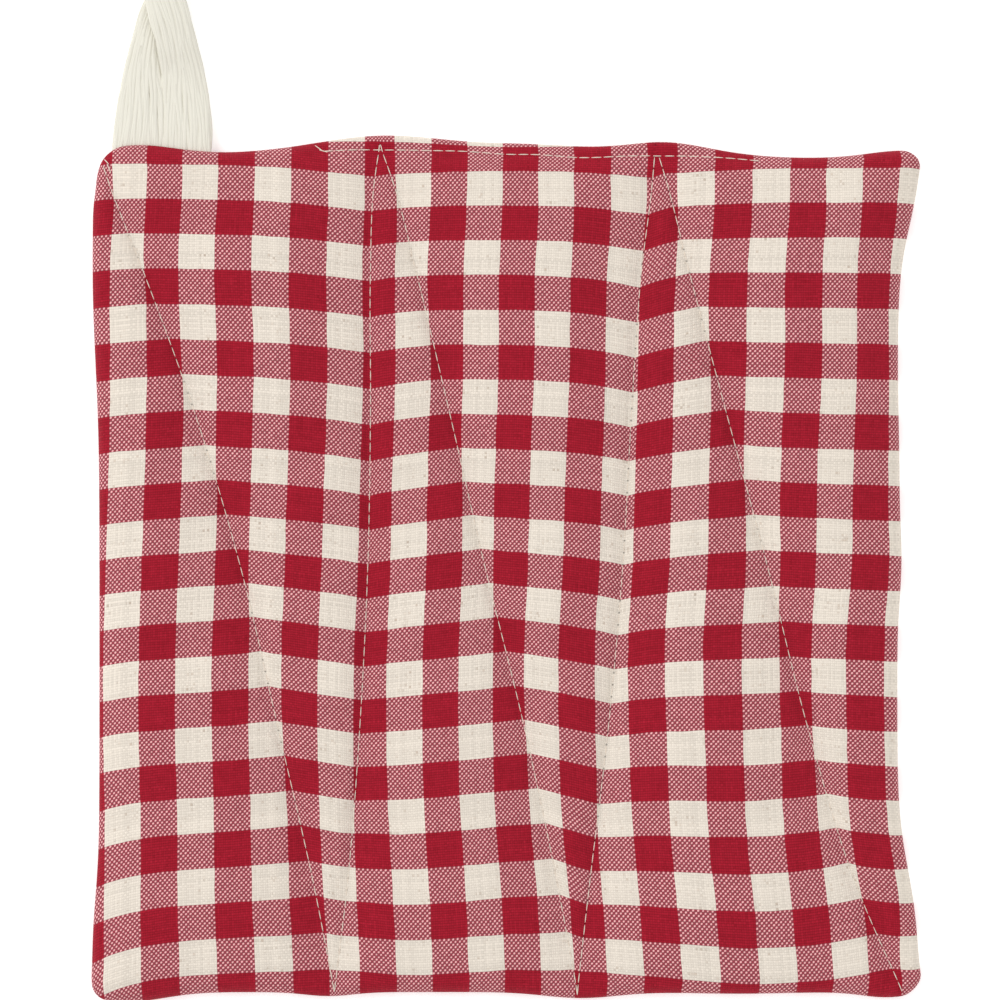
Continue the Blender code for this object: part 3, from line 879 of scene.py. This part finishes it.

# Soft cotton yarn, undyed and hardly twisted: its strands show as fine lines about 0.6 mm apart,
# in bump and in painted shade.
PLIES, PLY_LENGTH, FIBRE_SCALE, YARN_RELIEF = 8.0, 11.0, 2500.0, 0.06
yarn = bpy.data.materials.new("cotton_yarn_soft_spun")
yarn.use_nodes = True
tree = yarn.node_tree
split = add(
    tree, "ShaderNodeSeparateXYZ", {0: add(tree, "ShaderNodeUVMap", uv_map="yarn")}
).node.outputs
turns = add(tree, MATH, {0: split["Y"], 1: PLY_LENGTH}, operation="DIVIDE")
turns = add(tree, MATH, {0: split["X"], 1: PLIES, 2: turns}, operation="MULTIPLY_ADD")
turns = add(tree, MATH, {0: turns, 1: 2 * math.pi}, operation="MULTIPLY")
ply = add(tree, MATH, {0: turns}, operation="SINE")
ply = add(tree, MATH, {0: ply, 1: 0.5, 2: 0.5}, operation="MULTIPLY_ADD")
place = add(tree, "ShaderNodeTexCoord").node.outputs["Object"]
fibre = {"Vector": place, "Scale": FIBRE_SCALE, "Detail": 2.0}
fibre = add(tree, "ShaderNodeTexNoise", fibre)
relief = add(tree, MATH, {0: fibre, 1: 0.5, 2: ply}, operation="MULTIPLY_ADD")
bump = {"Height": relief, "Distance": YARN_RELIEF * MM, "Strength": 0.3}
bump = add(tree, "ShaderNodeBump", bump)
# Painted shade: the grooves between strands are coloured darker and the strands' crests lighter.
colour = add(
    tree,
    MIX,
    {"Factor": ply, "A": linear("#DCD9CC"), "B": linear("#E2DFD3")},
    data_type="RGBA",
).node.outputs[2]
shader = tree.nodes["Principled BSDF"]
tree.links.new(colour, shader.inputs["Base Color"])
tree.links.new(bump, shader.inputs["Normal"])
shader.inputs["Roughness"].default_value = 0.92
shader.inputs["Specular IOR Level"].default_value = 0.2
shader.inputs["Sheen Weight"].default_value = 0.1
loop.data.materials.append(yarn)
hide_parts("hanging_loop")
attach(loop, "root")

# The stitches
# Cream sewing thread in stitches of 3 mm: the zigzag that quilts the square, on both its faces, and
# the row that closes the top edge. Each stitch dips into the cloth at both its ends.
THREAD_WIDTH, THREAD_DEPTH, STITCH_SHOWS = 0.27, 0.26, 0.95
STITCH_LIFT, STITCH_BEND = 0.09, 0.16

bpy.ops.object.select_all(action="DESELECT")
bpy.ops.mesh.primitive_uv_sphere_add(segments=6, ring_count=6, radius=0.5)
stitch = bpy.context.object
bpy.ops.object.mode_set(mode="EDIT")
bpy.ops.mesh.select_all(action="SELECT")
bpy.ops.transform.resize(value=(THREAD_WIDTH, THREAD_DEPTH, STITCH * STITCH_SHOWS))
bpy.ops.object.mode_set(mode="OBJECT")
shape = np.array([vertex.co[:] for vertex in stitch.data.vertices])
# It lies along its own z, so that becomes the way of the seam, and its ends are bent down.
shape[:, 1] -= STITCH_BEND * (2 * shape[:, 2] / (STITCH * STITCH_SHOWS)) ** 2
shape_faces = [tuple(face.vertices) for face in stitch.data.polygons]
bpy.data.objects.remove(stitch)


def seam_stitches(line, surface, up):
    """Middle and way of each stitch on a line of places, on a face that looks up or down."""
    line = np.asarray(line, float)
    steps = np.hypot(*np.diff(line, axis=0).T)
    along = np.concatenate([[0], np.cumsum(steps)])
    ends = np.linspace(0, along[-1], max(round(along[-1] / STITCH), 1) + 1)
    x, y = (np.interp(ends, along, line[:, axis]) for axis in (0, 1))
    holes = np.column_stack([x, y, surface(x, y)])
    middles, ways = (holes[1:] + holes[:-1]) / 2, np.diff(holes, axis=0)
    middles[:, 2] = surface(middles[:, 0], middles[:, 1]) + up * STITCH_LIFT
    return middles, ways / np.linalg.norm(ways, axis=1)[:, None], np.full(len(middles), up)


# How high each seam's stitches start. The second and third cross the row that closes the edge.
SEAM_STARTS = (104.0, 106.2, 106.2, 102.6, 102.6)
# They end here, or where they come this near to the edge.
SEAM_END, EDGE_CLEAR = -106.5, 0.6
runs = []
for k, start in enumerate(SEAM_STARTS):
    heights = np.linspace(start, SEAM_END, 240)
    line = np.column_stack([seam_x(k, heights), heights])
    line = line[inside_distance(line[:, 0], line[:, 1]) > EDGE_CLEAR]
    runs.append(seam_stitches(line, top_height, 1))
    runs.append(seam_stitches(line, under_height, -1))
# Where a run of stitches starts, the machine goes back and forth over it.
TACKS = (
    ((-100.2, 102.2), (-98.4, 100.4)),
    ((-99.2, 101.0), (-98.0, 98.2)),
    ((-47.3, 105.3), (-45.4, 103.9)),
    ((-46.6, 104.3), (-43.9, 103.5)),
)
for tack in TACKS:
    runs.append(seam_stitches(tack, top_height, 1))
across = np.linspace(CLOSING_ROW[0][0], CLOSING_ROW[-1][0], 120)
closing = np.column_stack([across, closing_place(across)])
runs.append(seam_stitches(closing, top_height, 1))
middles, ways, ups = (np.concatenate(parts) for parts in zip(*runs))
sides = np.cross(ways, (0.0, 0.0, 1.0))
sides /= np.linalg.norm(sides, axis=1)[:, None]
overs = np.cross(sides, ways) * ups[:, None]
placed = (
    middles[:, None]
    + shape[None, :, :1] * sides[:, None]
    + shape[None, :, 1:2] * overs[:, None]
    + shape[None, :, 2:] * ways[:, None]
)
mesh = bpy.data.meshes.new("stitches")
faces = [
    tuple(vertex + copy * len(shape) for vertex in face)
    for copy in range(len(placed))
    for face in shape_faces
]
mesh.from_pydata((placed.reshape(-1, 3) * MM).tolist(), [], faces)
mesh.shade_smooth()
stitches = bpy.data.objects.new("stitches", mesh)
bpy.context.scene.collection.objects.link(stitches)
bpy.context.view_layer.objects.active = stitches
stitches.select_set(True)
bpy.ops.object.mode_set(mode="EDIT")
bpy.ops.mesh.select_all(action="SELECT")
bpy.ops.mesh.normals_make_consistent(inside=False)
bpy.ops.object.mode_set(mode="OBJECT")

# Sewing thread: cotton, spun fine and smooth, so it catches a little more light than the cloth.
thread = bpy.data.materials.new("cotton_sewing_thread")
thread.use_nodes = True
shader = thread.node_tree.nodes["Principled BSDF"]
shader.inputs["Base Color"].default_value = linear("#E0D2C3")
shader.inputs["Roughness"].default_value = 0.6
shader.inputs["Sheen Weight"].default_value = 0.1
stitches.data.materials.append(thread)
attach(stitches, "root")

# The stage
# A plain pale surface, seen from straight above under a wide soft light from the upper left.
CAMERA_HEIGHT = 1.2
CAMERA_PLACE = (-0.00125, 0.017)
PHOTO_WIDTH = 0.25
FLOOR_SIZE, FLOOR_DROP, FLOOR_GLOW, ROOM_LIGHT = 30.0, 0.0003, 0.3, 0.83

bpy.ops.mesh.primitive_plane_add(size=FLOOR_SIZE, location=(0, 0, -FLOOR_DROP))
floor = bpy.context.object
floor.name = "pale_surface"
pale = bpy.data.materials.new("pale_card")
pale.use_nodes = True
shader = pale.node_tree.nodes["Principled BSDF"]
shader.inputs["Base Color"].default_value = linear("#FCFCFB")
shader.inputs["Emission Color"].default_value = linear("#FFFFFF")
shader.inputs["Emission Strength"].default_value = FLOOR_GLOW
shader.inputs["Roughness"].default_value = 0.9
shader.inputs["Specular IOR Level"].default_value = 0.2
floor.data.materials.append(pale)

camera = bpy.data.cameras.new("camera")
camera.sensor_width = 36.0
camera.lens = camera.sensor_width * CAMERA_HEIGHT / PHOTO_WIDTH
camera.clip_start, camera.clip_end = 0.05, 20.0
view = bpy.data.objects.new("camera", camera)
view.location = (*CAMERA_PLACE, CAMERA_HEIGHT)
bpy.context.scene.collection.objects.link(view)
bpy.context.scene.camera = view

world = bpy.data.worlds.new("studio")
world.use_nodes = True
world.node_tree.nodes["Background"].inputs["Color"].default_value = (1.0, 1.0, 1.0, 1.0)
world.node_tree.nodes["Background"].inputs["Strength"].default_value = ROOM_LIGHT
bpy.context.scene.world = world
bpy.context.scene.view_settings.view_transform = "Standard"

# Columns: name, place, size, power, all aimed at the middle of the square.
for name, place, size, power in (
    ("wide_light", (-1.3, 0.9, 1.3), 1.4, 18.0),
    ("fill_light", (1.2, -0.8, 1.6), 1.6, 4.0),
):
    lamp = bpy.data.lights.new(name, "AREA")
    lamp.size, lamp.energy = size, power
    light = bpy.data.objects.new(name, lamp)
    light.location = place
    away = np.array(place) / np.linalg.norm(place)
    light.rotation_euler = (math.acos(away[2]), 0, math.atan2(away[1], away[0]) + math.pi / 2)
    bpy.context.scene.collection.objects.link(light)
